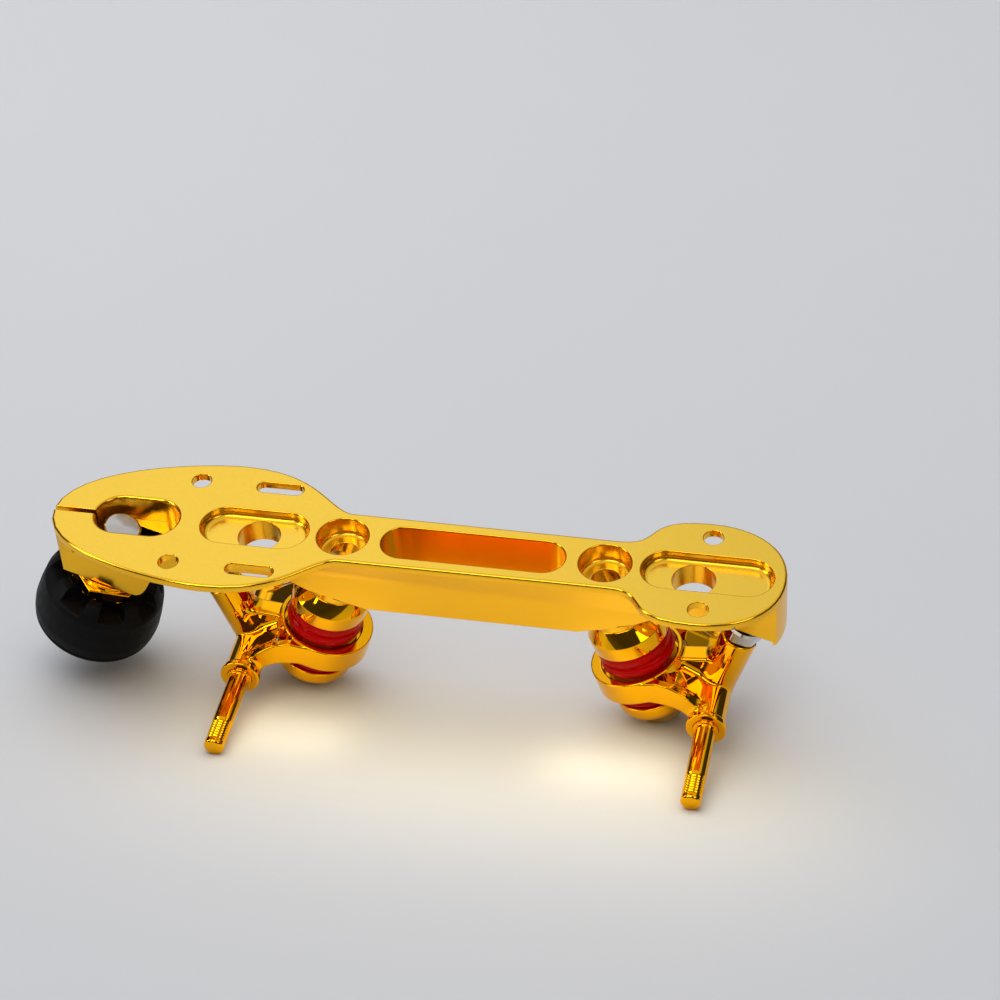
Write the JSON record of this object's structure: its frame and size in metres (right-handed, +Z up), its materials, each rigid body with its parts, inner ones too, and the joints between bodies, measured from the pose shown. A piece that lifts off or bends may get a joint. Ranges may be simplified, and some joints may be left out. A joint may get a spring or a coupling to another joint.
{
  "type": "roller skate plate",
  "caption": "Quad roller skate plate: a milled sole plate with sprung trucks on leaning kingpins, threaded axles and an adjustable rubber toe stop.",
  "frame": {"origin": "on the sole face, midway between the two kingpin bores", "axes": "+X to the toe, +Y to the skate's left, +Z up out of the sole face"},
  "size_m": [0.2961, 0.1228, 0.0761],
  "materials": {
    "polished_gold": "mirror-polished gold anodised",
    "satin_gold": "gold anodised, satin top face and polished walls",
    "bronze": "satin face, polished flats",
    "steel": "bright zinc",
    "dark_steel": "oiled",
    "red_urethane": "translucent, glossy",
    "black_rubber": "matte moulded",
    "nylon": "matte"
  },
  "bodies": {
    "plate_body": {"plate": "satin_gold", "front_outer_cup": "polished_gold", "front_inner_cup": "polished_gold", "front_outer_bushing": "red_urethane", "front_inner_bushing": "red_urethane", "front_pivot_cup": "nylon", "rear_outer_cup": "polished_gold", "rear_inner_cup": "polished_gold", "rear_outer_bushing": "red_urethane", "rear_inner_bushing": "red_urethane", "rear_pivot_cup": "nylon", "toe_stop_nut": "polished_gold"},
    "front_truck": {"front_hanger": "polished_gold", "front_axle": "polished_gold", "front_pivot_pin": "dark_steel", "front_pivot_nut": "steel"},
    "front_kingpin_body": {"front_kingpin": "bronze"},
    "rear_truck": {"rear_hanger": "polished_gold", "rear_axle": "polished_gold", "rear_pivot_pin": "dark_steel", "rear_pivot_nut": "steel"},
    "rear_kingpin_body": {"rear_kingpin": "bronze"},
    "toe_stop": {"toe_stop_stem": "steel", "toe_stop_rubber": "black_rubber"},
    "clamp_screw_body": {"toe_clamp_screw": "steel"}
  },
  "joints": [
    {"name": "front_truck_steer", "type": "hinge", "parent": "plate_body", "child": "front_truck", "pos_m": [0.06326, 0, -0.05006], "axis": [0.7571, 0, 0.6533], "range_deg": [-10, 10], "stiffness_Nm_per_rad": 30, "deforming": ["front_outer_bushing", "front_inner_bushing"]},
    {"name": "front_kingpin_turn", "type": "hinge", "parent": "plate_body", "child": "front_kingpin_body", "pos_m": [0.05, 0, -0.008], "axis": [0.3007, 0, -0.9537], "range_deg": [-180, 180]},
    {"name": "rear_truck_steer", "type": "hinge", "parent": "plate_body", "child": "rear_truck", "pos_m": [-0.06326, 0, -0.05006], "axis": [-0.7571, 0, 0.6533], "range_deg": [-10, 10], "stiffness_Nm_per_rad": 30, "deforming": ["rear_outer_bushing", "rear_inner_bushing"]},
    {"name": "rear_kingpin_turn", "type": "hinge", "parent": "plate_body", "child": "rear_kingpin_body", "pos_m": [-0.05, 0, -0.008], "axis": [-0.3007, 0, -0.9537], "range_deg": [-180, 180]},
    {"name": "toe_stop_travel", "type": "slide", "parent": "plate_body", "child": "toe_stop", "axis": [0.3584, 0, -0.9336], "range_m": [0, 0.01]},
    {"name": "toe_clamp_screw_turn", "type": "hinge", "parent": "plate_body", "child": "clamp_screw_body", "pos_m": [0.154, -0.0114, -0.0106], "axis": [0, -1, 0], "range_deg": [-180, 180]}
  ]
}
